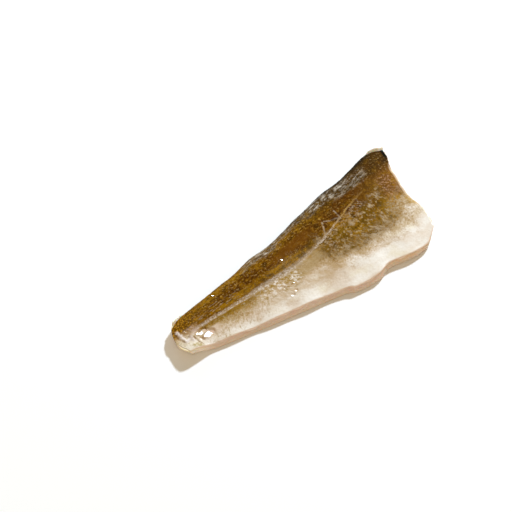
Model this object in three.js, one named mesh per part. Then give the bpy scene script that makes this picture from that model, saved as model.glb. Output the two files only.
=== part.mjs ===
// Skin-on fillet of white fish, lying on its flesh side with the skin up. Millimetres, +Z up.
// X runs from the narrow tail end to the broad head end, Y from the belly edge to the back edge.
import * as THREE from 'three';
import { mergeVertices } from 'three/addons/utils/BufferGeometryUtils.js';

const { lerp, smoothstep } = THREE.MathUtils;

// Outline of the skin from above: points that four smooth curves pass through, corner to corner.
const BELLY_EDGE = [[-126.5, -20.3], [-112, -22.6], [-90, -27], [-60, -33.5], [1, -46], [13, -51],
  [34, -53.5], [70, -55], [84, -54.5], [90, -52], [96, -48.2], [101, -45.2]];
const BACK_EDGE = [[-117, 12.5], [-56, 18.8], [-34, 23.4], [-12, 24.8], [26, 33.2], [52, 39.2], [73, 40.6],
  [92, 45], [112, 49], [129, 46]];
const TAIL_CUT = [[-126.5, -20.3], [-128.7, -13.5], [-128.3, -7], [-126, 1], [-122.5, 7], [-117, 12.5]];
const HEAD_CUT = [[101, -45.2], [105.5, -34.5], [107, -23], [106, -12], [108, -1], [111.5, 9], [115, 20],
  [122, 31], [129, 46]];

// Notch where the thin flap steps in along the belly edge.
const NOTCH_AT = 48;
const NOTCH_DEPTH = 4.3;
const NOTCH_TAIL_SIDE = 9;
const NOTCH_HEAD_SIDE = 16;

// Thickness at the two long edges and along the crest of the loin.
const BELLY_AT_TAIL = 5;
const BELLY_AT_HEAD = 8.2;
const BACK_AT_TAIL = 2;
const BACK_AT_HEAD = 6;
const BACK_RISE = 4;
const LOIN_AT_TAIL = 9;
const LOIN_AT_PEAK = 19;
const LOIN_AT_HEAD = 13.5;

// Shares of the length or width, and the bends of the cross-section.
const PEAK_SHARE = 0.78;
const CREST_SHARE = 0.66;
const BACK_ROUNDNESS = 2.4;
const FLAP_HOLLOW = 0.45;

// Uneven thickness of the belly edge: height of each wave and how many run along the edge.
const EDGE_WAVES = [[0.6, 3.1], [0.4, 7.3]];
const EDGE_WAVE_REACH = 0.35;

// Raised belly corner of the tail end: its height, the shares along where it fades and its reach across.
const TAIL_LIFT = 4.5;
const TAIL_LIFT_START = 0.02;
const TAIL_LIFT_END = 0.1;
const TAIL_LIFT_REACH = 0.2;

// Shallow valley of the lateral line in the skin, and groove of the midline in the flesh below.
const LATERAL_AT_TAIL = 0.43;
const LATERAL_RISE = 0.23;
const LATERAL_BEND_START = 0.42;
const LATERAL_BEND_END = 0.88;
const LATERAL_END = 0.85;
const LATERAL_DEPTH = 0.6;
const LATERAL_HALF_WIDTH = 4;
const MIDLINE_SHARE = 0.52;
const MIDLINE_DEPTH = 1.4;
const MIDLINE_HALF_WIDTH = 9;

// Lean of the cut walls: how far the underside stands out at the belly, which turns under at the head
// corner, and at the head cut, and how far it stands back at the tail cut.
const BELLY_FLARE = 1.2;
const BELLY_BULGE = 0.4;
const HEAD_LEAN = 1.5;
const TAIL_UNDERCUT = 1.5;
const WALL_REACH = 6;

// Faces along, across and through the fillet, and how strongly they crowd towards the back edge.
const FACES_ALONG = 76;
const FACES_ACROSS = 28;
const FACES_THROUGH = 2;
const BACK_CROWDING = 1.3;
const CURVE_STEPS = 1000;

const SKIN_COLOUR = 0x76591f;
const SKIN_ROUGHNESS = 0.32;

const smoothCurve = (points) => {
  const curve = new THREE.SplineCurve(points.map(([x, y]) => new THREE.Vector2(x, y)));
  curve.arcLengthDivisions = CURVE_STEPS;
  return curve;
};

const bellyCurve = smoothCurve(BELLY_EDGE);
const backCurve = smoothCurve(BACK_EDGE);
const tailCurve = smoothCurve(TAIL_CUT);
const headCurve = smoothCurve(HEAD_CUT);

const bump = (distance, halfWidth) => Math.exp(-((distance / halfWidth) ** 2));

function bellyPoint(along) {
  const point = bellyCurve.getPointAt(along);
  const offset = point.x - NOTCH_AT;
  point.y += NOTCH_DEPTH * bump(offset, offset < 0 ? NOTCH_TAIL_SIDE : NOTCH_HEAD_SIDE);
  return point;
}

// Point of the plan at shares along (tail 0, head 1) and across (belly 0, back 1), spread between the
// four edge curves.
function planPoint(along, across) {
  const long = bellyPoint(along).lerp(backCurve.getPointAt(along), across);
  const short = tailCurve.getPointAt(across).lerp(headCurve.getPointAt(across), along);
  const tailCorners = bellyPoint(0).lerp(backCurve.getPointAt(0), across);
  const headCorners = bellyPoint(1).lerp(backCurve.getPointAt(1), across);
  return long.add(short).sub(tailCorners.lerp(headCorners, along));
}

const widthAt = (along) => bellyPoint(along).distanceTo(backCurve.getPointAt(along));

function loinHeight(along) {
  if (along < PEAK_SHARE) {
    const rise = Math.sin((along / PEAK_SHARE) * Math.PI / 2);
    return LOIN_AT_TAIL + (LOIN_AT_PEAK - LOIN_AT_TAIL) * rise;
  }
  const fall = 1 - Math.cos(((along - PEAK_SHARE) / (1 - PEAK_SHARE)) * Math.PI / 2);
  return LOIN_AT_PEAK - (LOIN_AT_PEAK - LOIN_AT_HEAD) * fall;
}

function edgeWaves(along) {
  const waves = EDGE_WAVES.map(([height, count]) => height * Math.sin(2 * Math.PI * count * along));
  return waves.reduce((sum, wave) => sum + wave, 0);
}

// Share across at which the lateral line runs: straight in the tail half, then bending towards the back.
function lateralShare(along) {
  return LATERAL_AT_TAIL + LATERAL_RISE * smoothstep(along, LATERAL_BEND_START, LATERAL_BEND_END);
}

function lateralValley(along, across) {
  const fade = 1 - smoothstep(along, PEAK_SHARE, LATERAL_END);
  const distance = (across - lateralShare(along)) * widthAt(along);
  return LATERAL_DEPTH * fade * bump(distance, LATERAL_HALF_WIDTH);
}

function tailLift(along, across) {
  const fade = 1 - smoothstep(along, TAIL_LIFT_START, TAIL_LIFT_END);
  return TAIL_LIFT * fade * bump(across, TAIL_LIFT_REACH);
}

// Height of the skin: it rises from the belly edge to the crest of the loin, then rolls over to the back.
function skinHeight(along, across) {
  const crest = loinHeight(along);
  if (across > CREST_SHARE) {
    const past = (across - CREST_SHARE) / (1 - CREST_SHARE);
    const rim = lerp(BACK_AT_TAIL, BACK_AT_HEAD, along ** BACK_RISE);
    return rim + (crest - rim) * Math.sqrt(1 - past ** BACK_ROUNDNESS) + tailLift(along, across);
  }
  const waves = edgeWaves(along) * bump(across, EDGE_WAVE_REACH);
  const edge = lerp(BELLY_AT_TAIL, BELLY_AT_HEAD, along) + waves;
  const rise = Math.sin((across / CREST_SHARE) * Math.PI / 2) ** (1 + FLAP_HOLLOW * along);
  return edge + (crest - edge) * rise - lateralValley(along, across) + tailLift(along, across);
}

// Height of the flesh below: flat where the fillet rests, with the groove between two flat strips.
function fleshHeight(along, across) {
  const distance = Math.abs(across - MIDLINE_SHARE) * widthAt(along);
  const reach = Math.min(distance / MIDLINE_HALF_WIDTH, 1);
  return MIDLINE_DEPTH * (1 + Math.cos(Math.PI * reach)) / 2;
}

// Point of the fillet at a share of its thickness, from the flesh below (0) to the skin (1).
function filletPoint(along, across, through) {
  const plan = planPoint(along, across);
  const below = 1 - through;
  const nearHead = along ** WALL_REACH;
  const nearTail = (1 - along) ** WALL_REACH;
  const nearBelly = (1 - across) ** WALL_REACH;
  const flare = BELLY_FLARE * below * (1 - 2 * nearHead) + BELLY_BULGE * Math.sin(Math.PI * through);
  const x = plan.x + below * (HEAD_LEAN * across * nearHead + TAIL_UNDERCUT * nearTail);
  const y = plan.y - flare * nearBelly;
  const z = lerp(fleshHeight(along, across), skinHeight(along, across), through);
  return [x, y, z];
}

// Share of the way along a unit edge that is cut into equal steps.
const stepShare = (coordinate, steps) => Math.round((coordinate + 0.5) * steps) / steps;

function filletGeometry() {
  const block = new THREE.BoxGeometry(1, 1, 1, FACES_ALONG, FACES_ACROSS, FACES_THROUGH);
  block.deleteAttribute('normal');
  block.deleteAttribute('uv');
  const corners = block.getAttribute('position');
  for (let i = 0; i < corners.count; i += 1) {
    const along = stepShare(corners.getX(i), FACES_ALONG);
    const across = 1 - (1 - stepShare(corners.getY(i), FACES_ACROSS)) ** BACK_CROWDING;
    const through = stepShare(corners.getZ(i), FACES_THROUGH);
    corners.setXYZ(i, ...filletPoint(along, across, through));
  }
  const geometry = mergeVertices(block);
  geometry.computeVertexNormals();
  geometry.computeBoundingBox();
  return geometry;
}

const skin = new THREE.MeshStandardMaterial({
  color: SKIN_COLOUR,
  roughness: SKIN_ROUGHNESS,
  metalness: 0,
});
const fillet = new THREE.Mesh(filletGeometry(), skin);
fillet.name = 'fillet';

// The origin is below the middle of the fillet, on the surface that it lies on.
const { min, max } = fillet.geometry.boundingBox;
fillet.position.set(-(min.x + max.x) / 2, -(min.y + max.y) / 2, -min.z);

const group = new THREE.Group();
group.add(fillet);

export default group;
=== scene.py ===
"""Looks of the skin-on fish fillet: the flesh and the skin over it as two fine meshes with wet materials."""

import math

import bpy
import numpy as np
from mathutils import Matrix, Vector


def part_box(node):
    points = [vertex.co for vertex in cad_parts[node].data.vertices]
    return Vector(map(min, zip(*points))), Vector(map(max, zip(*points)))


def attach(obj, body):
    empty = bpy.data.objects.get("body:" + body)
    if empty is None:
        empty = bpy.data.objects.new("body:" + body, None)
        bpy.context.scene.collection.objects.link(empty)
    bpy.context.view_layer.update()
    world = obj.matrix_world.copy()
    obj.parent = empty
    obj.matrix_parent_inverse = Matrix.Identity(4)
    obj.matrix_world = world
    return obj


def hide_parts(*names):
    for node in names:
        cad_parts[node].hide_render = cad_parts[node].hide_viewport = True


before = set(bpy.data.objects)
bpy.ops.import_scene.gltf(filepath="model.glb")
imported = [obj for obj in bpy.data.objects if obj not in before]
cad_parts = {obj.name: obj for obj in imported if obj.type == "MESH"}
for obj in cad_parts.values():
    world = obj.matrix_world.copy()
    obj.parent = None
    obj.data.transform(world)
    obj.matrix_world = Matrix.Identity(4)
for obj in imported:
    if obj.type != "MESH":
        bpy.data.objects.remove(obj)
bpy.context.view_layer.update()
NODE = "fillet"
BODY = "root"
MM = 0.001

# Form of the fillet, in millimetres, as its solid has it. Shares run along from the tail (0) to the head (1),
# across from the belly edge (0) to the back edge (1), and through from the flesh below (0) to the skin (1).
BELLY_EDGE = [(-126.5, -20.3), (-112, -22.6), (-90, -27), (-60, -33.5), (1, -46), (13, -51), (34, -53.5),
              (70, -55), (84, -54.5), (90, -52), (96, -48.2), (101, -45.2)]
BACK_EDGE = [(-117, 12.5), (-56, 18.8), (-34, 23.4), (-12, 24.8), (26, 33.2), (52, 39.2), (73, 40.6),
             (92, 45), (112, 49), (129, 46)]
TAIL_CUT = [(-126.5, -20.3), (-128.7, -13.5), (-128.3, -7), (-126, 1), (-122.5, 7), (-117, 12.5)]
HEAD_CUT = [(101, -45.2), (105.5, -34.5), (107, -23), (106, -12), (108, -1), (111.5, 9), (115, 20),
            (122, 31), (129, 46)]
LENGTH = 250
MEAN_WIDTH = 75
NOTCH_AT = 48
NOTCH_DEPTH = 4.3
NOTCH_TAIL_SIDE = 9
NOTCH_HEAD_SIDE = 16
BELLY_AT_TAIL = 5
BELLY_AT_HEAD = 8.2
BACK_AT_TAIL = 2
BACK_AT_HEAD = 6
BACK_RISE = 4
LOIN_AT_TAIL = 9
LOIN_AT_PEAK = 19
LOIN_AT_HEAD = 13.5
PEAK_SHARE = 0.78
CREST_SHARE = 0.66
BACK_ROUNDNESS = 2.4
FLAP_HOLLOW = 0.45
EDGE_WAVES = [(0.6, 3.1), (0.4, 7.3)]
EDGE_WAVE_REACH = 0.35
LATERAL_AT_TAIL = 0.43
LATERAL_RISE = 0.23
LATERAL_BEND = (0.42, 0.88)
LATERAL_END = 0.85
LATERAL_DEPTH = 0.6
LATERAL_HALF_WIDTH = 4
MIDLINE_SHARE = 0.52
MIDLINE_DEPTH = 1.4
MIDLINE_HALF_WIDTH = 9
BELLY_FLARE = 1.2
BELLY_BULGE = 0.4
HEAD_LEAN = 1.5
TAIL_UNDERCUT = 1.5
WALL_REACH = 6
TAIL_LIFT = 4.5
TAIL_LIFT_SPAN = (0.02, 0.1)
TAIL_LIFT_REACH = 0.2

# Skin: its thickness, the depths of the rings of its edge, and how far its edges stand back, in millimetres.
SKIN_THICKNESS = 0.45
SKIN_PROUD = 0.05
SKIN_EDGE_DEPTHS = (0.15, 0.35, SKIN_THICKNESS)
TAIL_FLAP_MARGIN = 2.0
TAIL_RIM = 0.5
HEAD_MARGIN = 0.8
HEAD_CORNER_MARGIN = 1.8
BELLY_MARGIN = 0.2
TAIL_CORNER_CUT = 5.0
TIP_CUT = 4.2
MARGIN_WANDER = 0.45

# Relief of the skin: a height and the sizes along and across of each pattern, in millimetres.
SWELLS = (0.4, 26, 17)
RIPPLES = (0.16, 9, 6.5)
DIMPLES = (0.13, 3.4, 2.6)

# Rounding of the belly edge in millimetres. Corners of the outline: shares of the corner and of a place
# inside, towards which it is drawn, and how far. Their reach is in millimetres too.
EDGE_ROUND = 1.3
CORNERS = [
    (0, 0, 0.05, 0.15, 0.2),
    (0, 1, 0.05, 0.85, 1.2),
    (1, 0, 0.95, 0.15, 0.4),
    (1, 1, 0.95, 0.85, 1.6),
]
CORNER_REACH = 2.4

# How far the underside draws in, aslant, below the raised belly corner of the tail, and how far from the
# corner, in millimetres along and across.
TAIL_CURL = 5.0
TAIL_CURL_ALONG = 16
TAIL_CURL_ACROSS = 14

# Lips of flesh that stand up past the skin along the back edge: share along, height, and reach along and in
# from the edge, in millimetres.
LIPS = [(0.012, 4.6, 11, 5.0), (0.97, 5.4, 13, 3.2)]

# Folds and creases of the skin by the tail cut: runs of shares along and across, and the height or
# depth and the reach of each in millimetres. The folds are painted pale, partly the thin skin's own tone and
# partly a painted highlight on their ridges; the creases are painted brown as painted shade in them.
FOLDS = [[(0.016, 0.56), (0.024, 0.45), (0.03, 0.26)], [(0.03, 0.26), (0.048, 0.303), (0.05, 0.24)]]
CREASES = [[(0.058, 0.323), (0.06, 0.197), (0.06, 0.063)], [(0.008, 0.533), (0.016, 0.393), (0.024, 0.263)]]
FOLD_HEIGHT, FOLD_REACH = 0.4, 1.1
CREASE_DEPTH, CREASE_REACH = 0.3, 0.8

# Wet facets of the folded skin by the tail: shares along and across, and corners around that place in
# millimetres, turned askew. Wet dots are smaller facets: shares along and across, and their reach.
FACETS = [
    (0.078, 0.327, [(-4.5, -2.8), (-1.9, -0.9), (1.3, 0.5), (2.6, 2.3), (4.5, 2.8), (4.2, 1.0), (1.9, -1.4),
                    (-0.8, -3.1), (-2.9, -3.4)]),
    (0.07, 0.24, [(-2.4, 1.0), (2.1, 1.5), (2.6, -0.4), (1.6, -2.2), (0.3, -1.0), (-1.6, -0.1)]),
    (0.1, 0.227, [(-4.5, -2.6), (-2.4, -1.2), (-0.8, 1.7), (0.3, 2.8), (3.7, 2.9), (3.9, 1.5), (2.1, -1.4),
                  (0.3, -2.6), (-1.8, -2.8)]),
]
DOTS = [(0.44, 0.587, 1.5), (0.402, 0.163, 1.5), (0.42, 0.197, 1.4), (0.394, 0.283, 1.2),
        (0.166, 0.803, 1.4), (0.434, 0.287, 1.1), (0.044, 0.48, 1.3)]
DOT_OUTLINE = [(-1, -0.3), (-0.4, 0.6), (0.3, 0.5), (1, 0.8), (0.8, -0.3), (0.1, -0.8)]
FACET_TURN = math.radians(-39.4)

# Slope of the facets along and across, and how the first changes over a millimetre along. Widths of the
# flanks of facets and dots and of the water's rim, in millimetres. The hold keeps neighbours apart.
FACET_SLOPE = (-0.212, 0.117)
FACET_SLOPE_GAIN = 0.0006
FACET_FLANK = 3.0
DOT_FLANK = 0.8
FACET_RIM = 0.3
FACET_HOLD = 6

# Where the pigment of the back gives way to the pale belly: shares along and across, and the width of the
# change in millimetres.
PIGMENT_EDGE = [(0, 0.4, 5), (0.12, 0.32, 6), (0.24, 0.33, 6), (0.36, 0.39, 8), (0.45, 0.43, 10),
                (0.53, 0.4, 11), (0.6, 0.34, 9), (0.68, 0.3, 9), (0.76, 0.27, 9), (0.84, 0.31, 12),
                (0.92, 0.34, 14), (1, 0.42, 15)]

# Pale scratches across the lateral line: runs of shares along and across.
SCRATCHES = [
    [(0.638, 0.653), (0.624, 0.52)],
    [(0.646, 0.65), (0.666, 0.617), (0.69, 0.603), (0.706, 0.584)],
    [(0.7, 0.673), (0.708, 0.584)],
]

# Shares of the height in the flesh's wall, and its rings below the skin: how far in and how deep, in
# millimetres.
WALL_HEIGHTS = np.linspace(0.08, 1, 12)
FLESH_RINGS = [(0.5, 0.5), (1.2, 0.55), (2.0, 0.3), (2.8, 0.3), (3.6, 0.8)]
FLESH_CORE = (4.5, 1.0)

# Mesh fineness: steps along and across, how much coarser the hidden faces are, and how the rows crowd.
SKIN_STEPS = (520, 160)
FLESH_STEPS = (360, 120)
BOX_STEPS = (240, 120)
HIDDEN_STEP = 4
CREST_ROW = 0.6
EDGE_CROWDING = 1.3

# Camera of the picture: viewing angle, lens, and the floor point in the middle of the frame in the outline's
# millimetres.
AZIMUTH = -39.4
ELEVATION = 50
LENS = 85
SENSOR = 36
CAMERA_DISTANCE = 0.957
AIM = (-24.86, 26.08, 0)

# Studio: the floor's half side and depth in metres, the light all round, and the lamps: azimuth and elevation
# in degrees, distance and size in metres, power in watts, colour.
FLOOR_HALF = 3.0
FLOOR_DEPTH = 0.00005
AMBIENT = (0.48, 0.4, 0.29, 1)
LAMPS = [
    ("key", 113.6, 38, 5, 0.45, 324, (0.72, 0.85, 1.0)),
    ("sky", 160, 18, 2.5, 1.4, 10, (0.75, 0.88, 1.0)),
    ("front", -55, 14, 2.0, 1.0, 6, (1.0, 0.85, 0.66)),
]


def bump(distance, half_width):
    return np.exp(-((distance / half_width) ** 2))


def smoothstep(value, low, high):
    share = np.clip((value - low) / (high - low), 0, 1)
    return share * share * (3 - 2 * share)


def unit(vectors):
    return vectors / np.linalg.norm(vectors, axis=-1, keepdims=True)


def single(share):
    """One share as an array."""
    return np.full(1, float(share))


class Curve:
    """Smooth curve through points, read at shares of its length."""

    STEPS = 200

    def __init__(self, points):
        knots = np.array(points, float)
        last = len(knots) - 1
        place = np.linspace(0, last, self.STEPS * last + 1)
        start = np.minimum(place.astype(int), last - 1)
        part = (place - start)[:, None]
        before, here = knots[np.maximum(start - 1, 0)], knots[start]
        there, after = knots[start + 1], knots[np.minimum(start + 2, last)]
        leave, arrive = (there - before) / 2, (after - here) / 2
        self.line = ((2 * here - 2 * there + leave + arrive) * part**3
                     + (3 * there - 3 * here - 2 * leave - arrive) * part**2 + leave * part + here)
        run = np.cumsum(np.linalg.norm(np.diff(self.line, axis=0), axis=1))
        self.share = np.concatenate([[0], run / run[-1]])

    def at(self, share):
        return np.stack([np.interp(share, self.share, axis) for axis in self.line.T], -1)


class Noise:
    """Seeded smooth noise over a plane, roughly from -1 to 1."""

    CELLS = 128
    GAIN = 1.5

    def __init__(self, seed):
        turn = np.random.default_rng(seed).uniform(0, 2 * np.pi, (self.CELLS, self.CELLS))
        self.slope = np.stack([np.cos(turn), np.sin(turn)], -1)

    def at(self, u, v):
        i, j = np.floor(u).astype(int), np.floor(v).astype(int)
        a, b = u - i, v - j

        def corner(di, dj):
            slope = self.slope[(i + di) % self.CELLS, (j + dj) % self.CELLS]
            return slope[..., 0] * (a - di) + slope[..., 1] * (b - dj)

        fade_a, fade_b = smoothstep(a, 0, 1), smoothstep(b, 0, 1)
        low = corner(0, 0) * (1 - fade_a) + corner(1, 0) * fade_a
        high = corner(0, 1) * (1 - fade_a) + corner(1, 1) * fade_a
        return self.GAIN * (low * (1 - fade_b) + high * fade_b)

    def row(self, u, v):
        """Noise along one row of the plane."""
        return self.at(u, np.full(u.shape, v))

    def relief(self, pattern, x, y):
        """Noise of a height and of sizes along and across."""
        height, run, rise = pattern
        return height * self.at(x / run, y / rise)


belly_curve, back_curve = Curve(BELLY_EDGE), Curve(BACK_EDGE)
tail_curve, head_curve = Curve(TAIL_CUT), Curve(HEAD_CUT)
swell_noise, ripple_noise, dimple_noise, wrinkle_noise, edge_noise = (Noise(seed) for seed in range(5))


def belly_point(along):
    point = belly_curve.at(along)
    offset = point[..., 0] - NOTCH_AT
    point[..., 1] += NOTCH_DEPTH * bump(offset, np.where(offset < 0, NOTCH_TAIL_SIDE, NOTCH_HEAD_SIDE))
    return point


def width_at(along):
    return np.linalg.norm(belly_point(along) - back_curve.at(along), axis=-1)


def sheet_point(along, across):
    """Point of the plan spread between the four edge curves."""
    s, t = along[..., None], across[..., None]
    lengthwise = (1 - t) * belly_point(along) + t * back_curve.at(along)
    crosswise = (1 - s) * tail_curve.at(across) + s * head_curve.at(across)
    tail_corners = (1 - t) * belly_point(np.zeros(1)) + t * back_curve.at(0)
    head_corners = (1 - t) * belly_point(np.ones(1)) + t * back_curve.at(1)
    return lengthwise + crosswise - (1 - s) * tail_corners - s * head_corners


def plan_point(along, across):
    """Point of the plan with its four corners drawn in."""
    point = sheet_point(along, across)
    for corner_s, corner_t, aim_s, aim_t, pull in CORNERS:
        inward = sheet_point(single(aim_s), single(aim_t)) - sheet_point(single(corner_s), single(corner_t))
        reach = np.abs(along - corner_s) * LENGTH + np.abs(across - corner_t) * width_at(along)
        drawn = (pull * np.exp(-reach / CORNER_REACH))[..., None]
        point = point + unit(inward) * drawn
    return point


def loin_height(along):
    rise = np.sin(np.clip(along / PEAK_SHARE, 0, 1) * np.pi / 2)
    past = np.clip((along - PEAK_SHARE) / (1 - PEAK_SHARE), 0, 1)
    up = LOIN_AT_TAIL + (LOIN_AT_PEAK - LOIN_AT_TAIL) * rise
    down = LOIN_AT_PEAK - (LOIN_AT_PEAK - LOIN_AT_HEAD) * (1 - np.cos(past * np.pi / 2))
    return np.where(along < PEAK_SHARE, up, down)


def lateral_distance(along, across):
    """Distance from the lateral line towards the back, in millimetres."""
    line = LATERAL_AT_TAIL + LATERAL_RISE * smoothstep(along, *LATERAL_BEND)
    return (across - line) * width_at(along)


def skin_height(along, across):
    crest = loin_height(along)
    past = np.clip((across - CREST_SHARE) / (1 - CREST_SHARE), 0, 1)
    rim = BACK_AT_TAIL + (BACK_AT_HEAD - BACK_AT_TAIL) * along**BACK_RISE
    fall = rim + (crest - rim) * np.sqrt(1 - past**BACK_ROUNDNESS)
    waves = sum(height * np.sin(2 * np.pi * count * along) for height, count in EDGE_WAVES)
    edge = BELLY_AT_TAIL + (BELLY_AT_HEAD - BELLY_AT_TAIL) * along + waves * bump(across, EDGE_WAVE_REACH)
    lift = TAIL_LIFT * (1 - smoothstep(along, *TAIL_LIFT_SPAN)) * bump(across, TAIL_LIFT_REACH)
    rise = np.sin(np.clip(across / CREST_SHARE, 0, 1) * np.pi / 2) ** (1 + FLAP_HOLLOW * along)
    fade = 1 - smoothstep(along, PEAK_SHARE, LATERAL_END)
    valley = LATERAL_DEPTH * fade * bump(lateral_distance(along, across), LATERAL_HALF_WIDTH)
    return lift + np.where(across > CREST_SHARE, fall, edge + (crest - edge) * rise - valley)


def flesh_height(along, across):
    distance = np.abs(across - MIDLINE_SHARE) * width_at(along)
    reach = np.minimum(distance / MIDLINE_HALF_WIDTH, 1)
    return MIDLINE_DEPTH * (1 + np.cos(np.pi * reach)) / 2


def form_point(along, across, through, plan_rule=plan_point):
    """Point of the plain form, in the outline's millimetres."""
    along, across, through = np.broadcast_arrays(along, across, through)
    plan = plan_rule(along, across)
    below = 1 - through
    near_head, near_tail = along**WALL_REACH, (1 - along) ** WALL_REACH
    flare = BELLY_FLARE * below * (1 - 2 * near_head) + BELLY_BULGE * np.sin(np.pi * through)
    corner = bump(along * LENGTH, TAIL_CURL_ALONG) * bump(across * width_at(along), TAIL_CURL_ACROSS)
    curl = TAIL_CURL * math.sqrt(0.5) * below * corner
    x = plan[..., 0] + below * (HEAD_LEAN * across * near_head + TAIL_UNDERCUT * near_tail) + curl
    y = plan[..., 1] - flare * (1 - across) ** WALL_REACH + curl
    z = below * flesh_height(along, across) + through * skin_height(along, across)
    return np.stack([x, y, z], -1)


def skin_normal(along, across):
    """Outward direction of the skin side of the plain form."""
    step = 0.002

    def place(s, t):
        return form_point(np.clip(s, 0, 1), np.clip(t, 0, 1), 1.0, sheet_point)

    lengthwise = place(along + step, across) - place(along - step, across)
    crosswise = place(along, across + step) - place(along, across - step)
    return unit(np.cross(lengthwise, crosswise))


def row_shares(count):
    """Shares across, spread so that rows lie evenly over the crest and down the steep back."""
    row = np.linspace(0, 1, count + 1)
    flat = CREST_SHARE * np.clip(row / CREST_ROW, 0, 1) ** EDGE_CROWDING
    turn = np.clip((row - CREST_ROW) / (1 - CREST_ROW), 0, 1) * np.pi / 2
    steep = CREST_SHARE + (1 - CREST_SHARE) * np.sin(turn) ** (2 / BACK_ROUNDNESS)
    return np.where(row < CREST_ROW, flat, steep)


def share_grid(steps):
    """Shares along and across at the points of a grid."""
    return np.meshgrid(np.linspace(0, 1, steps[0] + 1), row_shares(steps[1]), indexing="ij")


def solid_middle():
    """Middle of the plain form's box, which the solid has at the frame's origin."""
    along, across = share_grid(BOX_STEPS)
    points = np.concatenate([form_point(along, across, k).reshape(-1, 3) for k in (0.0, 0.5, 1.0)])
    low, high = points.min(0), points.max(0)
    node_low, node_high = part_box(NODE)
    node_middle = np.array(node_low + node_high) / 2 / MM
    return (low + high) / 2 - node_middle


OUTLINE_SHIFT = solid_middle() * np.array([1, 1, 0])


def tail_wrinkles(along, across):
    """Creases of the loose skin by the tail cut, in millimetres of height."""
    spacing, height, sharpness, fine_height, waver, bow = 5.5, 0.45, 1.6, 0.3, 3.0, 12
    distance = along * LENGTH
    bend = waver * wrinkle_noise.at(across * 5, distance / 9) + bow * (across - 0.3) ** 2
    crease = 1 - np.abs(np.sin(np.pi * (distance + bend) / spacing))
    fine = 1 - np.abs(wrinkle_noise.at(distance / 3.2 + 50, across * 9))
    window = bump(distance - 10, 11) * bump(across - 0.28, 0.2) * smoothstep(distance, 2, 7)
    return (height * crease**sharpness + fine_height * fine) * window


def edge_drop(along, across):
    """Depth of the rounded belly edge below the plain form, in millimetres, less at the two ends."""
    less = 0.8
    inside = np.clip(1 - across * width_at(along) / EDGE_ROUND, 0, 1)
    end = 1 - smoothstep(along * LENGTH, 1, 14) * smoothstep((1 - along) * LENGTH, 4, 24)
    return EDGE_ROUND * (1 - np.sqrt(1 - inside**2)) * (1 - less * end)


def back_margin(along):
    """How far the skin stands back from the back edge at its two ends, in millimetres."""
    tail_reach, tip_reach = 0.035, 0.06
    return TAIL_CORNER_CUT * bump(along, tail_reach) + TIP_CUT * bump(1 - along, tip_reach)


def lip_height(along, across):
    """Height of the flesh's lips along the back edge and of its rim along the tail cut."""
    raggedness, size, row = 0.14, 2.9, 11.5
    gap = (1 - across) * width_at(along)
    ragged = 1 + raggedness * edge_noise.row(along * LENGTH / size, row)
    lips = np.zeros(gap.shape)
    for place, rise, reach, depth in LIPS:
        lips += rise * bump((along - place) * LENGTH, reach) * bump(gap, depth)
    bare = smoothstep(back_margin(along) - gap, -0.2, 1.2)
    rim = 1 - smoothstep(along * LENGTH, TAIL_FLAP_MARGIN - 0.8, TAIL_FLAP_MARGIN + 0.4)
    return lips * ragged * bare + TAIL_RIM * rim * (1 - smoothstep(across, 0.3, 0.5))


def scale_pockets(x, y, across):
    """Faint crossed rows of scale pockets, in millimetres of height."""
    run, row, height, at_belly = 3.0, 2.1, 0.045, 0.4
    warp = ripple_noise.relief((0.9, 5, 5), x, y)
    one = np.cos(2 * np.pi * (x / run + y / row) + warp)
    two = np.cos(2 * np.pi * (x / run - y / row) - warp)
    return height * (one + two) / 2 * (at_belly + (1 - at_belly) * smoothstep(across, 0.15, 0.5))


def line_distance(points, one, two):
    """Distance to a straight line between two places."""
    line = two - one
    part = np.clip(((points - one) @ line) / (line @ line), 0, 1)
    return np.linalg.norm(points - one - part[..., None] * line, axis=-1)


def run_distance(plan, runs):
    """Distance to the nearest of some runs of straight lines, in millimetres."""
    nearest = np.full(plan.shape[:-1], np.inf)
    for run in runs:
        shares = np.array(run)
        knots = plan_point(shares[:, 0], shares[:, 1])
        for one, two in zip(knots[:-1], knots[1:]):
            nearest = np.minimum(nearest, line_distance(plan, one, two))
    return nearest


def facet_depth(offset, outline):
    """Distance inside a facet's outline, in millimetres, below 0 outside it."""
    turn_x, turn_y = math.cos(FACET_TURN), math.sin(FACET_TURN)
    place = offset @ np.array([[turn_x, -turn_y], [turn_y, turn_x]])
    u, v = place[..., 0], place[..., 1]
    inside = np.zeros(u.shape, bool)
    nearest = np.full(u.shape, np.inf)
    corners = np.array(outline)
    for one, two in zip(corners, np.roll(corners, -1, axis=0)):
        (u0, v0), (u1, v1) = one, two
        crossed = (v0 > v) != (v1 > v)
        inside ^= crossed & (u < u0 + (u1 - u0) * (v - v0) / ((v1 - v0) or 1))
        nearest = np.minimum(nearest, line_distance(place, one, two))
    return np.where(inside, nearest, -nearest)


def wet_facets(along, across):
    """How wet and how flat a place is at the facets and dots, and their height over the plain form."""
    plan = plan_point(along, across)
    height = skin_height(along, across)
    wet, flat, lift, total = (np.zeros(height.shape) for _ in range(4))
    facets = [(*facet, FACET_FLANK) for facet in FACETS]
    for s, t, reach in DOTS:
        facets.append((s, t, [(reach * u, reach * v) for u, v in DOT_OUTLINE], DOT_FLANK))
    for s, t, outline, flank in facets:
        middle = plan_point(single(s), single(t))
        slope = np.array(FACET_SLOPE) + np.array([FACET_SLOPE_GAIN * middle[0, 0], 0])
        plane = skin_height(single(s), single(t)) + (plan - middle) @ slope
        depth = facet_depth(plan - middle, outline)
        share = smoothstep(depth, -flank, 0.1)
        weight = share**FACET_HOLD
        lift += weight * (plane - height)
        total += weight
        flat = np.maximum(flat, share)
        wet = np.maximum(wet, smoothstep(depth, -FACET_RIM, FACET_RIM))
    return wet, flat, flat * lift / np.maximum(total, 1e-9)


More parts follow.
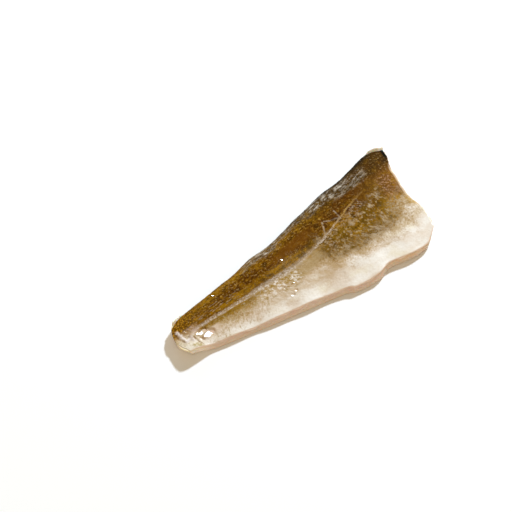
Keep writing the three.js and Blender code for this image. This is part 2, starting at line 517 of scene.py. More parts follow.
def skin_relief(along, across):
    """Height of the skin over the plain form, in millimetres."""
    groove, groove_reach = 0.3, 1.3
    bank, bank_gap, bank_reach = 0.14, 2.3, 1.0
    plan = plan_point(along, across)
    x, y = plan[..., 0], plan[..., 1]
    relief = swell_noise.relief(SWELLS, x, y) + ripple_noise.relief(RIPPLES, x, y)
    relief += dimple_noise.relief(DIMPLES, x, y) * smoothstep(across, 0.68, 0.9)
    distance = lateral_distance(along, across)
    line = groove * bump(distance, groove_reach) - bank * bump(np.abs(distance) - bank_gap, bank_reach)
    relief -= (1 - smoothstep(along, 0.7, 0.8)) * line
    relief += tail_wrinkles(along, across) + scale_pockets(x, y, across)
    relief += FOLD_HEIGHT * bump(run_distance(plan, FOLDS), FOLD_REACH)
    relief -= CREASE_DEPTH * bump(run_distance(plan, CREASES), CREASE_REACH)
    return relief * smoothstep(across * width_at(along), 0, 4) - edge_drop(along, across)


def skin_domain(along, across):
    """Shares on the fillet for shares on the skin, whose edges stand back a little and wander."""
    waves, fine_waves, belly_waves, corner_at, corner_reach = 9, 31, 40, 0.12, 0.12
    wander = edge_noise.row(across * waves, 0.5) + edge_noise.row(across * fine_waves, 7.5)
    wander = MARGIN_WANDER * wander
    flap = TAIL_FLAP_MARGIN * (1 - smoothstep(across, 0.2, 0.5))
    corner = TAIL_CORNER_CUT * smoothstep(across, 0.82, 1.0)
    tail = np.maximum(flap + wander + corner, 0) / LENGTH
    head_corner = HEAD_CORNER_MARGIN * bump(across - corner_at, corner_reach)
    head = (HEAD_MARGIN - wander + head_corner) / LENGTH
    s = tail + (1 - tail - head) * along
    width = width_at(s)
    belly = (BELLY_MARGIN + MARGIN_WANDER * edge_noise.row(s * belly_waves, 3.5)) / width
    back = back_margin(s) / width
    return s, np.clip(belly + (1 - belly - back) * across, 0, 1)


def perimeter(grid):
    """Edge of a grid, once round from the first corner."""
    return np.concatenate([grid[:-1, 0], grid[-1, :-1], grid[:0:-1, -1], grid[0, :0:-1]])


def coarser(grid):
    """Fewer points of a grid, for a hidden face."""
    return grid[::HIDDEN_STEP, ::HIDDEN_STEP]


def closed_mesh(name, face, loops, hidden, upward):
    """Closed mesh of a fine face, loops of its edge and a coarser hidden face."""
    parts = [face.reshape(-1, 3), *loops, hidden.reshape(-1, 3)]
    points = np.concatenate(parts)
    starts = np.cumsum([len(part) for part in parts])[:-1]
    face_index, *rings, hidden_index = np.split(np.arange(len(points)), starts)
    face_index = face_index.reshape(face.shape[:2])
    hidden_index = hidden_index.reshape(hidden.shape[:2])
    rings = [perimeter(face_index), *rings]

    def quads(index):
        corners = index[:-1, :-1], index[1:, :-1], index[1:, 1:], index[:-1, 1:]
        return np.stack([corner.ravel() for corner in corners], -1).tolist()

    faces = quads(face_index) + [quad[::-1] for quad in quads(hidden_index)]
    for upper, lower in zip(rings[:-1], rings[1:]):
        faces += np.stack([lower, np.roll(lower, -1), np.roll(upper, -1), upper], -1).tolist()
    last, inner = rings[-1].tolist(), perimeter(hidden_index).tolist()
    for k, corner in enumerate(inner):
        fine = [last[(k * HIDDEN_STEP + j) % len(last)] for j in range(HIDDEN_STEP, -1, -1)]
        faces.append([corner, inner[(k + 1) % len(inner)], *fine])
    if not upward:
        faces = [corners[::-1] for corners in faces]
    mesh = bpy.data.meshes.new(name)
    mesh.from_pydata((points * MM).tolist(), [], faces)
    mesh.polygons.foreach_set("use_smooth", np.ones(len(faces), bool))
    mesh.update()
    return mesh


def store(mesh, name, face, loops, hidden):
    """Vector attribute with a value for each point, in the mesh's own order."""
    values = np.concatenate([face.reshape(-1, 3), *loops, hidden.reshape(-1, 3)])
    attribute = mesh.attributes.new(name, "FLOAT_VECTOR", "POINT")
    attribute.data.foreach_set("vector", values.astype(np.float32).ravel())


def add_piece(name, mesh, material):
    piece = bpy.data.objects.new(name, mesh)
    bpy.context.scene.collection.objects.link(piece)
    mesh.materials.append(material)
    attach(piece, BODY)
    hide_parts(NODE)


def skin_zone(along, across):
    """Depth into the pigment, and distances from the lateral line and the scratches in millimetres."""
    place, edge, fade = np.array(PIGMENT_EDGE).T
    gap = (across - np.interp(along, place, edge)) * width_at(along)
    level = gap / np.interp(along, place, fade)
    scratch = run_distance(plan_point(along, across), SCRATCHES)
    return np.stack([level, lateral_distance(along, across), scratch], -1)


def skin_map(along, across):
    """Shares along and across, and how wet the skin is."""
    return np.stack([along, across, wet_facets(along, across)[0]], -1)


def skin_edge(along, across):
    """Distances from the belly edge and from the folds and creases by the tail, in millimetres."""
    plan = plan_point(along, across)
    return np.stack([across * width_at(along), run_distance(plan, FOLDS), run_distance(plan, CREASES)], -1)


def skin_layer(along, across, depth):
    """Points at a depth below the outside of the skin."""
    _, flat, lift = wet_facets(along, across)
    relief = skin_relief(along, across) * (1 - flat) - depth
    point = form_point(along, across, 1.0) + skin_normal(along, across) * relief[..., None]
    point[..., 2] += lift
    return point - OUTLINE_SHIFT


def make_skin(material):
    s, t = skin_domain(*share_grid(SKIN_STEPS))
    edge = perimeter(s), perimeter(t)
    inside = coarser(s), coarser(t)
    loops = [skin_layer(*edge, depth) for depth in SKIN_EDGE_DEPTHS]
    hidden = skin_layer(*inside, SKIN_THICKNESS)
    mesh = closed_mesh("fillet_skin", skin_layer(s, t, -SKIN_PROUD), loops, hidden, True)
    for name, rule in (("skin_zone", skin_zone), ("skin_map", skin_map), ("skin_edge", skin_edge)):
        store(mesh, name, rule(s, t), [rule(*edge)] * len(loops), rule(*inside))
    add_piece("fillet_skin", mesh, material)


def flake_phase(along, across, through):
    """Count of muscle layers from the tail, whose edges run in a zigzag over the flesh."""
    spacing, zigzag, lean, folds, shift = 5.5, 13, 7, 2.0, 0.46
    plan = plan_point(along, across)
    x, y = plan[..., 0], plan[..., 1]
    fold = np.abs(((across * folds + shift) % 1.0) - 0.5) * 2
    wobble = ripple_noise.relief((1.3, 8, 6), x, y)
    return (x + zigzag * fold + lean * through + wobble) / spacing


def flake_groove(phase):
    sharpness = 5
    return (1 - np.abs(np.sin(np.pi * phase))) ** sharpness


def underside(along, across):
    groove_depth, wave_height, rim_height, rim_reach = 0.28, 0.25, 0.12, 0.5
    point = form_point(along, across, 0.0)
    sideways = np.minimum(across, 1 - across) * width_at(along)
    gap = np.minimum(sideways, np.minimum(along, 1 - along) * LENGTH)
    groove = groove_depth * flake_groove(flake_phase(along, across, 0 * along))
    wave = wave_height * (1 + swell_noise.at(point[..., 0] / 13, point[..., 1] / 10))
    point[..., 2] += groove * smoothstep(gap, 0, 3) + wave * smoothstep(gap, 2, 9)
    point[..., 2] += rim_height * np.exp(-gap / rim_reach)
    return point - OUTLINE_SHIFT


def outward(loop):
    """Level direction away from the fillet along a loop of its edge."""
    run = np.roll(loop, -2, axis=0) - np.roll(loop, 2, axis=0)
    return unit(np.stack([run[:, 1], -run[:, 0], 0 * run[:, 0]], -1))


def flesh_wall(along, across, through):
    """Cut wall at a share of the height, with the edges of the muscle layers standing out a little."""
    below_skin, roughness, grain, groove_depth = 0.1, 0.45, 3.1, 0.3
    through = np.full(along.shape, through)
    point = form_point(along, across, through)
    sunk = SKIN_THICKNESS + below_skin + edge_drop(along, across)
    point -= skin_normal(along, across) * (sunk * through)[..., None]
    point[..., 2] += lip_height(along, across) * through
    rough = roughness * wrinkle_noise.at(point[..., 0] / grain + 40, point[..., 1] / grain + 4 * through)
    rough -= groove_depth * flake_groove(flake_phase(along, across, through))
    envelope = np.sin(np.pi * np.clip(through, 0.04, 0.96))
    return point + outward(point) * (rough * envelope)[..., None] - OUTLINE_SHIFT


def flesh_ring(along, across, inset, depth):
    """Upper side of the flesh, drawn in from the outline and sunk below the skin."""
    s = inset / LENGTH + (1 - 2 * inset / LENGTH) * along
    margin = inset / width_at(s)
    t = margin + (1 - 2 * margin) * across
    sunk = depth - skin_relief(s, t)
    point = form_point(s, t, 1.0) - skin_normal(s, t) * sunk[..., None]
    point[..., 2] += lip_height(s, t)
    return point - OUTLINE_SHIFT


def flesh_zone(along, across, through):
    """Muscle layer count, distance from the midline in millimetres and share of the height."""
    through = np.full(along.shape, through)
    midline = (across - MIDLINE_SHARE) * width_at(along)
    return np.stack([flake_phase(along, across, through), midline, through], -1)


def flesh_map(along, across, through):
    """Shares along, across and through."""
    return np.stack([along, across, np.full(along.shape, through)], -1)


def make_flesh(material):
    s, t = share_grid(FLESH_STEPS)
    edge = perimeter(s), perimeter(t)
    inside = coarser(s), coarser(t)
    loops = [flesh_wall(*edge, height) for height in WALL_HEIGHTS]
    loops += [flesh_ring(*edge, *ring) for ring in FLESH_RINGS]
    hidden = flesh_ring(*inside, *FLESH_CORE)
    mesh = closed_mesh("fillet_flesh", underside(s, t), loops, hidden, False)
    heights = [*WALL_HEIGHTS, *np.ones(len(FLESH_RINGS))]
    for name, rule in (("flesh_zone", flesh_zone), ("flesh_map", flesh_map)):
        edges = [rule(*edge, height) for height in heights]
        store(mesh, name, rule(s, t, 0.0), edges, rule(*inside, 1.0))
    add_piece("fillet_flesh", mesh, material)


def paint(code):
    """Linear colour of a six-digit hex code."""
    parts = [int(code[k:k + 2], 16) / 255 for k in (0, 2, 4)]
    linear = [part / 12.92 if part <= 0.04045 else ((part + 0.055) / 1.055) ** 2.4 for part in parts]
    return (*linear, 1)


class Shader:
    """Nodes of one material, joined by short calls. A value is a socket, a number or a paint's code."""

    def __init__(self, name):
        self.material = bpy.data.materials.new(name)
        self.material.use_nodes = True
        self.nodes = self.material.node_tree.nodes
        self.links = self.material.node_tree.links
        self.nodes.clear()
        self.surface = self.node("BsdfPrincipled")
        self.node("OutputMaterial", self.surface.outputs["BSDF"])

    def put(self, value, socket):
        if isinstance(value, bpy.types.NodeSocket):
            self.links.new(value, socket)
        else:
            socket.default_value = paint(value) if isinstance(value, str) else value

    def node(self, kind, *values, **settings):
        """New node with some settings, and with values for its first sockets."""
        node = self.nodes.new("ShaderNode" + kind)
        for key, setting in settings.items():
            setattr(node, key, setting)
        for value, socket in zip(values, node.inputs):
            self.put(value, socket)
        return node

    def attribute(self, name):
        node = self.node("Attribute", attribute_name=name)
        return self.node("SeparateXYZ", node.outputs["Vector"]).outputs

    def join(self, *values):
        return self.node("CombineXYZ", *values).outputs[0]

    def math(self, operation, *values):
        return self.node("Math", *values, operation=operation).outputs[0]

    def chain(self, operation, values):
        result = values[0]
        for value in values[1:]:
            result = self.math(operation, result, value)
        return result

    def times(self, *values):
        return self.chain("MULTIPLY", values)

    def total(self, *values):
        return self.chain("ADD", values)

    def scaled(self, value, factor, shift):
        return self.math("MULTIPLY_ADD", value, factor, shift)

    def swing(self, pattern, gain):
        """Pattern spread about 0, from half the gain below to half above."""
        return self.scaled(pattern, gain, -gain / 2)

    def without(self, share, part):
        """1, less a part of a share."""
        return self.scaled(share, -part, 1.0)

    def average(self, one, two):
        return self.scaled(one, 0.5, self.times(two, 0.5))

    def ease(self, value, low, high, start=0.0, end=1.0):
        """Share that goes smoothly from a start at one value to an end at another."""
        node = self.node("MapRange", value, low, high, start, end, interpolation_type="SMOOTHSTEP")
        return node.outputs[0]

    def near(self, value, centre, inner, outer):
        """1 within a distance of the centre, easing to 0 at a further one."""
        return self.ease(self.math("ABSOLUTE", self.math("SUBTRACT", value, centre)), outer, inner)

    def mix(self, share, one, two):
        node = self.node("Mix", share, data_type="RGBA")
        for value, place in ((one, 6), (two, 7)):
            self.put(value, node.inputs[place])
        return node.outputs[2]

    def tint(self, colour, code, *shares):
        """Colour mixed with a paint by the product of some shares."""
        return self.mix(self.times(*shares), colour, code)

    def cover(self, colour, layers):
        """Colour under layers: a paint, a pattern, how it eases in, and its zones."""
        for code, pattern, low, high, start, end, *zones in layers:
            colour = self.tint(colour, code, self.ease(pattern, low, high, start, end), *zones)
        return colour

    def stretch(self, sizes, source=None):
        """Position, or another place in millimetres, over a size along each axis."""
        place = source or self.node("TexCoord").outputs["Object"]
        per_mm = 1 if source else MM
        scale = [1 / (size * per_mm) for size in sizes]
        return self.node("VectorMath", place, scale, operation="MULTIPLY").outputs[0]

    def noise(self, sizes, detail=2.0, roughness=0.5, source=None):
        node = self.node("TexNoise", self.stretch(sizes, source))
        for key, value in (("Scale", 1), ("Detail", detail), ("Roughness", roughness)):
            node.inputs[key].default_value = value
        return node.outputs["Fac"]

    def cells(self, sizes):
        node = self.node("TexVoronoi", self.stretch(sizes))
        node.inputs["Scale"].default_value = 1
        return node.outputs["Distance"]

    def bump(self, height, depth, strength):
        node = self.node("Bump", strength, depth * MM)
        self.put(height, node.inputs["Height"])
        return node.outputs["Normal"]

    def finish(self, **settings):
        for key, value in settings.items():
            self.put(value, self.surface.inputs[key.replace("_", " ").title().replace("Ior", "IOR")])
        return self.material


class SkinShader(Shader):
    """Nodes of the skin, with the places on it and its patterns as sockets."""

    OVERHANG = -0.4
    SLANT = 0.45

    def __init__(self, name):
        super().__init__(name)
        self.level, self.lateral, self.scratch = self.attribute("skin_zone")
        self.along, self.across, self.wet = self.attribute("skin_map")
        self.belly_gap, self.fold_gap, self.crease_gap = self.attribute("skin_edge")
        self.head_gap = self.scaled(self.along, -LENGTH, LENGTH)
        run = self.times(self.along, LENGTH)
        rise = self.times(self.across, MEAN_WIDTH)
        over = self.scaled(rise, self.OVERHANG, run)
        self.flow = self.join(run, rise, 0.0)
        self.upright = self.join(over, rise, 0.0)
        self.lean = self.join(over, self.scaled(run, self.SLANT, rise), 0.0)
        self.streaks = self.noise((60, 5, 1), 3, source=self.flow)
        self.patches = self.noise((24, 11, 1), 2, source=self.flow)
        self.clouds = self.noise((15, 8, 1), 2, source=self.lean)
        self.blotches = self.noise((9, 5.5, 1), 4, 0.65, self.lean)
        self.flecks = self.noise((3.6, 2.4, 1), 3, 0.65, self.lean)
        self.wisps = self.noise((3.8, 1.3, 1), 3, 0.6, self.lean)
        self.fibres = self.noise((3.2, 2.0, 1), 3, 0.65, self.flow)
        self.strokes = self.noise((1.7, 6, 1), 3, 0.65, self.upright)
        self.drift = self.noise((16, 10, 16), 3)
        self.grain = self.noise((3.8, 3.0, 3.8), 4, 0.7)
        self.specks = self.noise((1.6, 1.3, 1.6), 2, 0.65)
        self.pockets = self.cells((2.4, 1.9, 2.4))

    def zone(self, along, **others):
        """1 at a place on the skin, easing to 0 around it: centre, near and far reach of each measure."""
        sides = [self.near(getattr(self, name), *reach) for name, reach in others.items()]
        return self.times(self.near(self.along, *along), *sides)


def back_colour(sh):
    """Brown of the back: golden ground, dark streaks, blotches and band, specks and scale pockets."""
    ground = sh.mix(sh.ease(sh.patches, 0.35, 0.65), "9a6d0a", "7f5303")
    ground = sh.cover(ground, [
        ("b57c10", sh.along, 0.14, 0.02, 0, 0.7),
        ("4a3006", sh.along, 0.3, 0.75, 0, 0.85, sh.ease(sh.across, 0.62, 0.8)),
        ("3c2406", sh.along, 0.7, 0.92, 0, 0.75, sh.ease(sh.across, 0.64, 0.85)),
    ])
    band = sh.zone((0.5, 0.3, 0.45), across=(0.65, 0.05, 0.14))
    dark = sh.total(sh.times(band, 0.6), sh.swing(sh.streaks, 1.6), sh.swing(sh.clouds, 1.2))
    smooth = sh.zone((0.5, 0.045, 0.12), across=(0.65, 0.03, 0.09))
    deep = sh.times(sh.ease(sh.along, 0.6, 0.8), sh.ease(sh.across, 0.58, 0.7))
    lights = sh.times(sh.without(smooth, 0.7), sh.without(deep, 0.5))
    darks = sh.without(smooth, 0.45)
    head = sh.ease(sh.along, 0.42, 0.64, 0.6, 1.0)
    body = sh.ease(sh.along, 0.68, 0.52, 0.2, 0.85)
    back = sh.cover(ground, [
        ("5a3202", dark, -0.1, 0.7, 0, 1),
        ("9e700a", sh.blotches, 0.53, 0.66, 0, 0.45, lights),
        ("412703", sh.blotches, 0.48, 0.36, 0, 0.75, darks),
        ("aa7e18", sh.fibres, 0.53, 0.65, 0, 0.7, body, lights),
        ("3a2304", sh.fibres, 0.48, 0.35, 0, 0.6, body, darks),
        ("a2750c", sh.grain, 0.54, 0.7, 0, 0.5, head, lights),
        ("301d03", sh.grain, 0.48, 0.32, 0, 0.65, head, darks),
        ("b68a1e", sh.specks, 0.55, 0.72, 0, 0.6, head, lights),
        ("241502", sh.specks, 0.45, 0.28, 0, 0.8, head, darks),
        ("b5a182", sh.specks, 0.58, 0.72, 0, 0.4, deep),
        ("3a2604", sh.pockets, 0.4, 0.75, 0, 0.25, head, darks),
        ("b99e78", sh.specks, 0.57, 0.7, 0, 0.5, body, lights),
    ])
    back = sh.tint(back, "74470c", smooth, 0.45)
    brown = sh.zone((0.88, 0.05, 0.11), across=(0.62, 0.06, 0.14))
    tail = sh.times(sh.ease(sh.along, 0.14, 0.06), sh.ease(sh.across, 0.46, 0.56))
    net = sh.total(sh.cells((1.5, 1.2, 1.5)), sh.swing(sh.specks, 0.9))
    rim = sh.scaled(sh.grain, 0.08, sh.across)
    ends = sh.math("MAXIMUM", sh.ease(sh.along, 0.3, 0.5, 0.35, 1.0), sh.ease(sh.along, 0.1, 0.05))
    return sh.cover(back, [
        ("5a380c", sh.grain, 0.4, 0.58, 0.75, 0.3, brown),
        ("cc9a3e", net, 0.34, 0.1, 0, 0.6, tail),
        ("482b05", net, 0.38, 0.64, 0, 0.75, tail),
        ("1c160a", rim, 0.92, 1.02, 0, 0.95, ends, sh.ease(sh.along, 0.9, 0.96, 1.0, 0.3)),
    ])


def belly_colour(sh):
    """Pale belly, tinted yellow and pink in patches."""
    belly = sh.mix(sh.ease(sh.drift, 0.4, 0.65), "f0e9de", "e5d7c6")
    veil = sh.zone((0.44, 0.08, 0.22), across=(0.26, 0.06, 0.15))
    return sh.cover(belly, [
        ("e6d8b6", sh.patches, 0.5, 0.7, 0, 0.45),
        ("d8c6ad", sh.flecks, 0.5, 0.75, 0, 0.3),
        ("ccb698", sh.blotches, 0.35, 0.6, 0.3, 0.9, veil),
    ])


def faded_colour(sh):
    """Pigment of the back, which thins out towards the belly in a tan wash, a golden one and specks."""
    loose = sh.swing(sh.drift, 2.0)
    tufts = sh.times(sh.swing(sh.strokes, 2.6), sh.ease(sh.along, 0.3, 0.42, 1.0, 0.28))
    fine = sh.times(sh.swing(sh.specks, 1.8), sh.ease(sh.along, 0.3, 0.42, 1.5, 1.0))
    wash = sh.total(sh.level, loose, sh.swing(sh.blotches, 2.4), tufts, fine)
    reach = sh.ease(sh.along, 0.5, 0.75, -2.7, -1.7)
    colour = sh.tint(belly_colour(sh), "c2a57e", sh.ease(wash, reach, -0.2, 0, 0.8))
    gold = sh.mix(sh.ease(sh.along, 0.5, 0.75), "a17d2e", "aa9166")
    gold = sh.tint(gold, "ad9160", sh.near(sh.along, 0.45, 0.09, 0.18))
    colour = sh.mix(sh.ease(wash, -1.4, 0.8, 0, 0.85), colour, gold)
    dots = sh.total(sh.level, sh.times(loose, 0.7), sh.swing(sh.specks, 3.2), sh.swing(sh.grain, 2.6))
    colour = sh.mix(sh.ease(dots, -0.8, 1.1), colour, back_colour(sh))
    plain = sh.zone((0.5, 0.05, 0.11), lateral=(-6.0, 3.0, 7.0))
    over = sh.zone((0.44, 0.1, 0.2), lateral=(3.2, 1.4, 4.0))
    speckled = sh.zone((0.74, 0.12, 0.2), level=(1.0, 0.9, 1.7))
    streaky = sh.zone((0.2, 0.1, 0.18), level=(-1.0, 0.9, 1.8))
    paled = sh.zone((0.39, 0.05, 0.12), across=(0.34, 0.07, 0.14))
    uneven = sh.average(sh.blotches, sh.flecks)
    return sh.cover(colour, [
        ("b0966a", sh.clouds, 0.35, 0.6, 0.35, 0.8, plain),
        ("6c4e0a", sh.clouds, 0.35, 0.6, 0.6, 0.2, speckled),
        ("5c4405", sh.flecks, 0.46, 0.34, 0, 0.7, speckled),
        ("baa890", sh.blotches, 0.52, 0.66, 0, 0.6, speckled),
        ("4a3403", sh.specks, 0.44, 0.3, 0, 0.75, speckled),
        ("c1ab84", sh.flecks, 0.53, 0.68, 0, 0.65, speckled),
        ("f1e9de", uneven, 0.51, 0.58, 0, 0.8, paled),
        ("98741c", uneven, 0.49, 0.42, 0, 0.8, paled),
        ("efe6da", sh.strokes, 0.53, 0.64, 0, 0.65, streaky),
        ("a5843a", sh.strokes, 0.47, 0.36, 0, 0.65, streaky),
        ("e2d0c4", sh.flecks, 0.56, 0.7, 0, 0.4, streaky),
        ("50370a", sh.grain, 0.42, 0.56, 0.7, 0.1, over),
    ])


def wisp_colour(sh, colour):
    """Grey wisps beside the lateral line, partly a pale film and partly painted sheen, pink ones by the head
    cut and gold below the line by the tail.
    """
    beside_film_and_sheen = sh.zone((0.71, 0.07, 0.14), lateral=(-6.5, 4.0, 10.0))
    above = sh.zone((0.165, 0.05, 0.11), lateral=(6.5, 2.0, 4.5))
    golden = sh.zone((0.2, 0.08, 0.16), lateral=(-2.9, 0.9, 2.9))
    drips = sh.zone((0.22, 0.1, 0.17), lateral=(-7.0, 1.5, 5.0))
    cut = sh.zone((0.95, 0.025, 0.06), across=(0.56, 0.07, 0.16))
    torn = sh.average(sh.wisps, sh.specks)
    smooth = sh.noise((6, 1.5, 1), 2, source=sh.flow)
    broken = sh.total(sh.flecks, sh.times(sh.strokes, 0.7))
    return sh.cover(colour, [
        # Grey wisps beside the line: partly a pale film, partly painted sheen.
        ("ad9b86", torn, 0.47, 0.6, 0, 0.65, sh.ease(sh.clouds, 0.4, 0.58), beside_film_and_sheen),
        ("ae9a86", smooth, 0.56, 0.68, 0, 0.65, above),
        ("bd9678", torn, 0.48, 0.62, 0, 0.6, cut),
        ("88640a", broken, 0.76, 0.96, 0.2, 0.9, golden),
        ("9c8028", sh.strokes, 0.52, 0.64, 0, 0.7, drips),
    ])


def ridge_share(sh):
    """Stretches of the back edge with bright smears of painted sheen over a dark ground."""
    stretches = [
        ((0.7, 0.06, 0.13), (0.865, 0.03, 0.09), 1.0),
        ((0.8, 0.04, 0.1), (0.82, 0.04, 0.1), 0.8),
        ((0.37, 0.04, 0.1), (0.9, 0.09, 0.17), 1.0),
        ((0.54, 0.1, 0.2), (0.92, 0.04, 0.1), 0.7),
    ]
    ridges = [sh.times(sh.zone(along, across=across), share) for along, across, share in stretches]
    return sh.times(sh.chain("MAXIMUM", ridges), sh.ease(sh.across, 1.0, 0.94, 0.25, 1.0))


def painted_sheen_share(sh, ridge):
    """How far smears of silver, a painted sheen of reflected light, cover the back."""
    broad = sh.ease(sh.noise((8, 2.8, 1), 5, 0.72, sh.flow), 0.48, 0.62)
    fine = sh.ease(sh.noise((3.6, 2.1, 1), 4, 0.75, sh.flow), 0.5, 0.64, 0, 0.6)
    return sh.times(sh.math("MAXIMUM", broad, fine), ridge, sh.ease(sh.blotches, 0.38, 0.54, 0.3, 0.9))


def line_colour(sh, colour):
    """Lateral line of broken strands, mottled by the tail and tan past its bend, and pale scratches."""
    half = sh.times(sh.ease(sh.along, 0.2, 0.42, 1.3, 2.2), sh.ease(sh.along, 0.44, 0.7, 1.0, 0.4))
    waver = sh.swing(sh.noise((5, 4, 1), 3, source=sh.flow), 2.0)
    offset = sh.math("ABSOLUTE", sh.total(sh.lateral, waver))
    line = sh.ease(sh.math("DIVIDE", offset, half), 1.4, 0.4)
    strands = sh.ease(sh.noise((2.6, 0.8, 1), 3, 0.7, sh.flow), 0.4, 0.56, 0.15, 1.0)
    reach = sh.times(sh.ease(sh.along, 0.86, 0.74), sh.ease(sh.along, 0.05, 0.1))
    faint = sh.without(sh.near(sh.along, 0.52, 0.03, 0.08), 0.35)
    mottled = sh.mix(sh.ease(sh.specks, 0.42, 0.58), "a28c70", "d0c2b4")
    mottled = sh.tint(mottled, "ab8648", sh.ease(sh.along, 0.62, 0.74))
    colour = sh.mix(sh.times(line, reach, strands, faint), colour, mottled)
    return sh.tint(colour, "b8a58e", sh.ease(sh.scratch, 1.0, 0.2), sh.ease(sh.grain, 0.38, 0.6, 0.15, 0.7))


def end_colour(sh, colour):
    """Thin skin at the cut ends and the belly edge, folds by the tail painted pale with a painted highlight
    in part, creases and a dent painted brown as painted shade, a pale patch that partly paints light over a
    facet's shaded flank, and the dark tip.
    """
    flush = sh.times(sh.ease(sh.along, 0.88, 0.99), sh.near(sh.across, 0.6, 0.08, 0.22))
    rim = sh.times(sh.ease(sh.head_gap, 3.6, 1.4), sh.near(sh.across, 0.48, 0.2, 0.3))
    ochre = sh.times(sh.ease(sh.head_gap, 8.0, 2.0), sh.near(sh.across, 0.33, 0.03, 0.08))
    tip = sh.ease(sh.across, 0.8, 0.87)
    thin = sh.times(sh.ease(sh.along, 0.085, 0.03), sh.ease(sh.across, 0.5, 0.38))
    lilac = sh.zone((0.06, 0.015, 0.035), across=(0.42, 0.06, 0.13))
    dent_shade = sh.zone((0.045, 0.006, 0.018), across=(0.41, 0.03, 0.08))
    blush_and_flank_light = sh.zone((0.125, 0.015, 0.04), across=(0.25, 0.035, 0.085))
    olive = sh.zone((0.046, 0.008, 0.022), across=(0.08, 0.04, 0.1))
    fold = sh.total(sh.fold_gap, sh.swing(sh.specks, 3.0), sh.swing(sh.grain, 3.0))
    return sh.cover(colour, [
        ("7d4c24", sh.flecks, 0.35, 0.6, 0.6, 0.1, flush),
        ("e2c6a6", sh.grain, 0.35, 0.55, 0.4, 0.85, rim),
        ("c09a48", sh.flecks, 0.42, 0.56, 0.1, 0.75, ochre),
        ("120f08", sh.head_gap, 5.0, 3.0, 0, 1, tip),
        ("dcd0b8", sh.drift, 0.35, 0.6, 0.3, 0.8, thin),
        ("9b8346", sh.flecks, 0.56, 0.68, 0, 0.7, thin),
        ("bfa898", sh.grain, 0.4, 0.55, 0.1, 0.8, lilac),
        # Brown patch in the hollow between the folds: painted shade.
        ("a07c4e", sh.grain, 0.4, 0.55, 0.3, 0.9, dent_shade),
        # Pale patch beside the big facet: partly the skin's tone, partly painted light over the facet's
        # shaded flank.
        ("e2cdba", sh.grain, 0.35, 0.6, 0.45, 0.8, blush_and_flank_light),
        ("a58e4e", sh.grain, 0.4, 0.55, 0.2, 0.8, olive),
        # Pale along the folds: partly the thin skin's tone, partly a painted highlight on the fold ridges.
        ("e4d8d2", sh.flecks, 0.36, 0.52, 0.25, 0.9, sh.ease(fold, 2.2, 0.4)),
        # Brown along the creases: painted shade in them.
        ("8a6430", sh.grain, 0.42, 0.58, 0.05, 0.8, sh.ease(sh.crease_gap, 1.2, 0.1)),
        ("ebcdb6", sh.belly_gap, 1.3, 0.2, 0, 0.85),
    ])


def skin_material():
    sh = SkinShader("wet_skin")
    ridge = ridge_share(sh)
    painted_sheen = painted_sheen_share(sh, ridge)
    colour = wisp_colour(sh, faded_colour(sh))
    colour = sh.tint(colour, "33260a", ridge, 0.5)
    # Painted sheen: silvery smears of reflected light along the back edge, painted into the base colour.
    colour = sh.tint(colour, "c8bba8", painted_sheen)
    colour = end_colour(sh, line_colour(sh, colour))

    # Fine relief of the scale pockets, and a film of water, thin but for the ragged wet spots
    height = sh.scaled(sh.pockets, -0.5, sh.times(sh.grain, 0.8))
    ripple = sh.noise((5, 3.5, 5), 2)
    normal = sh.bump(sh.scaled(ripple, 1.2, height), 0.3, 0.7)
    film = sh.bump(sh.times(sh.scaled(ripple, 1.6, height), sh.without(sh.wet, 0.85)), 0.35, 0.5)
    rough = sh.ease(sh.noise((6, 5, 6), 2), 0.3, 0.7, 0.55, 0.7)
    spots = sh.ease(sh.noise((3.4, 1.6, 1), 2, 0.6, sh.lean), 0.56, 0.7)
    coat = sh.times(sh.scaled(spots, 0.1, 0.005), sh.ease(sh.along, 0.88, 0.76))
    ragged = sh.ease(sh.noise((4.2, 2.6, 1), 3, 0.75, sh.flow), 0.46, 0.54)
    coat = sh.math("MAXIMUM", sh.scaled(painted_sheen, 0.2, coat), sh.times(sh.wet, ragged))
    return sh.finish(base_color=colour, roughness=rough, normal=normal, coat_weight=coat, coat_roughness=0.06,
                     coat_ior=1.4, coat_normal=film, specular_ior_level=0.01)


def flesh_material():
    sh = Shader("moist_flesh")
    phase, midline, through = sh.attribute("flesh_zone")
    along, across, _ = sh.attribute("flesh_map")
    cloud = sh.noise((11, 8, 6), 3)
    fine = sh.noise((2.2, 1.4, 1.2), 3)
    cloudy = sh.ease(cloud, 0.35, 0.7)
    below = sh.mix(cloudy, "f6e3d3", "f3d2bc")
    wall = sh.cover(sh.mix(cloudy, "e0c6b0", "dcb8a0"), [
        ("deb888", along, 0.62, 0.82, 0, 0.8),
        ("dfc8ae", through, 0.95, 0.3, 0, 1),
    ])
    tail = sh.mix(sh.ease(through, 0.75, 0.98), "efe2d0", "e8d6ac")
    colour = sh.mix(sh.ease(through, 0.0, 0.1), below, wall)
    colour = sh.mix(sh.ease(along, 0.12, 0.02, 0, 0.85), colour, tail)
    seam = sh.math("ABSOLUTE", sh.math("SINE", sh.times(phase, math.pi)))
    colour = sh.cover(colour, [
        ("efe0cb", along, 0.93, 0.98, 0, 0.7),
        ("c99077", sh.math("ABSOLUTE", midline), 9, 1.5, 0, 0.6, sh.ease(through, 0.6, 0.1)),
        ("d3b7a2", seam, 0.3, 0.0, 0, 0.4),
        ("fdf9e8", through, 0.6, 0.9, 0, 0.85, sh.ease(across, 0.9, 0.96)),
    ])
    normal = sh.bump(sh.scaled(fine, 0.8, cloud), 0.3, 0.6)
    rough = sh.ease(fine, 0.3, 0.7, 0.32, 0.5)
    return sh.finish(base_color=colour, roughness=rough, normal=normal, coat_weight=0.2, coat_roughness=0.2,
                     coat_ior=1.36, ior=1.4, subsurface_weight=0.3, subsurface_scale=0.003,
                     subsurface_radius=(1.0, 0.45, 0.28))


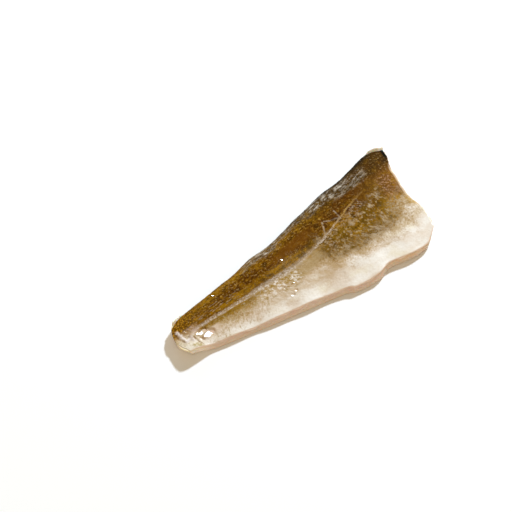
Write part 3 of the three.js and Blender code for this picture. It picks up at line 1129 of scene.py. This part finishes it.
def make_floor():
    corners = [(x * FLOOR_HALF, y * FLOOR_HALF, 0) for x, y in ((-1, -1), (1, -1), (1, 1), (-1, 1))]
    mesh = bpy.data.meshes.new("floor")
    mesh.from_pydata(corners, [], [(0, 1, 2, 3)])
    sh = Shader("floor_white")
    rough = sh.ease(sh.noise((3, 3, 3)), 0, 1, 0.8, 0.9)
    mesh.materials.append(sh.finish(base_color="f7f6f4", roughness=rough))
    floor = bpy.data.objects.new("floor", mesh)
    floor.location.z = -FLOOR_DEPTH
    bpy.context.scene.collection.objects.link(floor)


def direction(azimuth, elevation):
    """Unit vector from the fillet at an azimuth and an elevation in degrees."""
    a, e = math.radians(azimuth), math.radians(elevation)
    return Vector((math.sin(a) * math.cos(e), -math.cos(a) * math.cos(e), math.sin(e)))


def add_aimed(name, data, place, towards):
    """Lamp or camera at a place, facing away from a direction."""
    holder = bpy.data.objects.new(name, data)
    holder.location = place
    holder.rotation_mode = "QUATERNION"
    holder.rotation_quaternion = towards.to_track_quat("Z", "Y")
    bpy.context.scene.collection.objects.link(holder)
    return holder


def add_lamp(name, azimuth, elevation, distance, size, power, colour):
    lamp = bpy.data.lights.new(name, "AREA")
    lamp.shape = "DISK"
    lamp.size = size
    lamp.energy = power
    lamp.color = colour
    towards = direction(azimuth, elevation)
    add_aimed(name, lamp, towards * distance, towards)


def make_studio():
    make_floor()
    world = bpy.data.worlds.new("studio")
    world.use_nodes = True
    background = world.node_tree.nodes["Background"]
    background.inputs["Color"].default_value = AMBIENT
    bpy.context.scene.world = world
    for lamp in LAMPS:
        add_lamp(*lamp)
    bpy.context.scene.view_settings.view_transform = "Standard"


def make_camera():
    data = bpy.data.cameras.new("camera")
    data.lens = LENS
    data.sensor_width = SENSOR
    back = direction(AZIMUTH, ELEVATION)
    place = Vector((np.array(AIM) - OUTLINE_SHIFT) * MM) + back * CAMERA_DISTANCE
    bpy.context.scene.camera = add_aimed("camera", data, place, back)


make_camera()
make_studio()
make_flesh(flesh_material())
make_skin(skin_material())
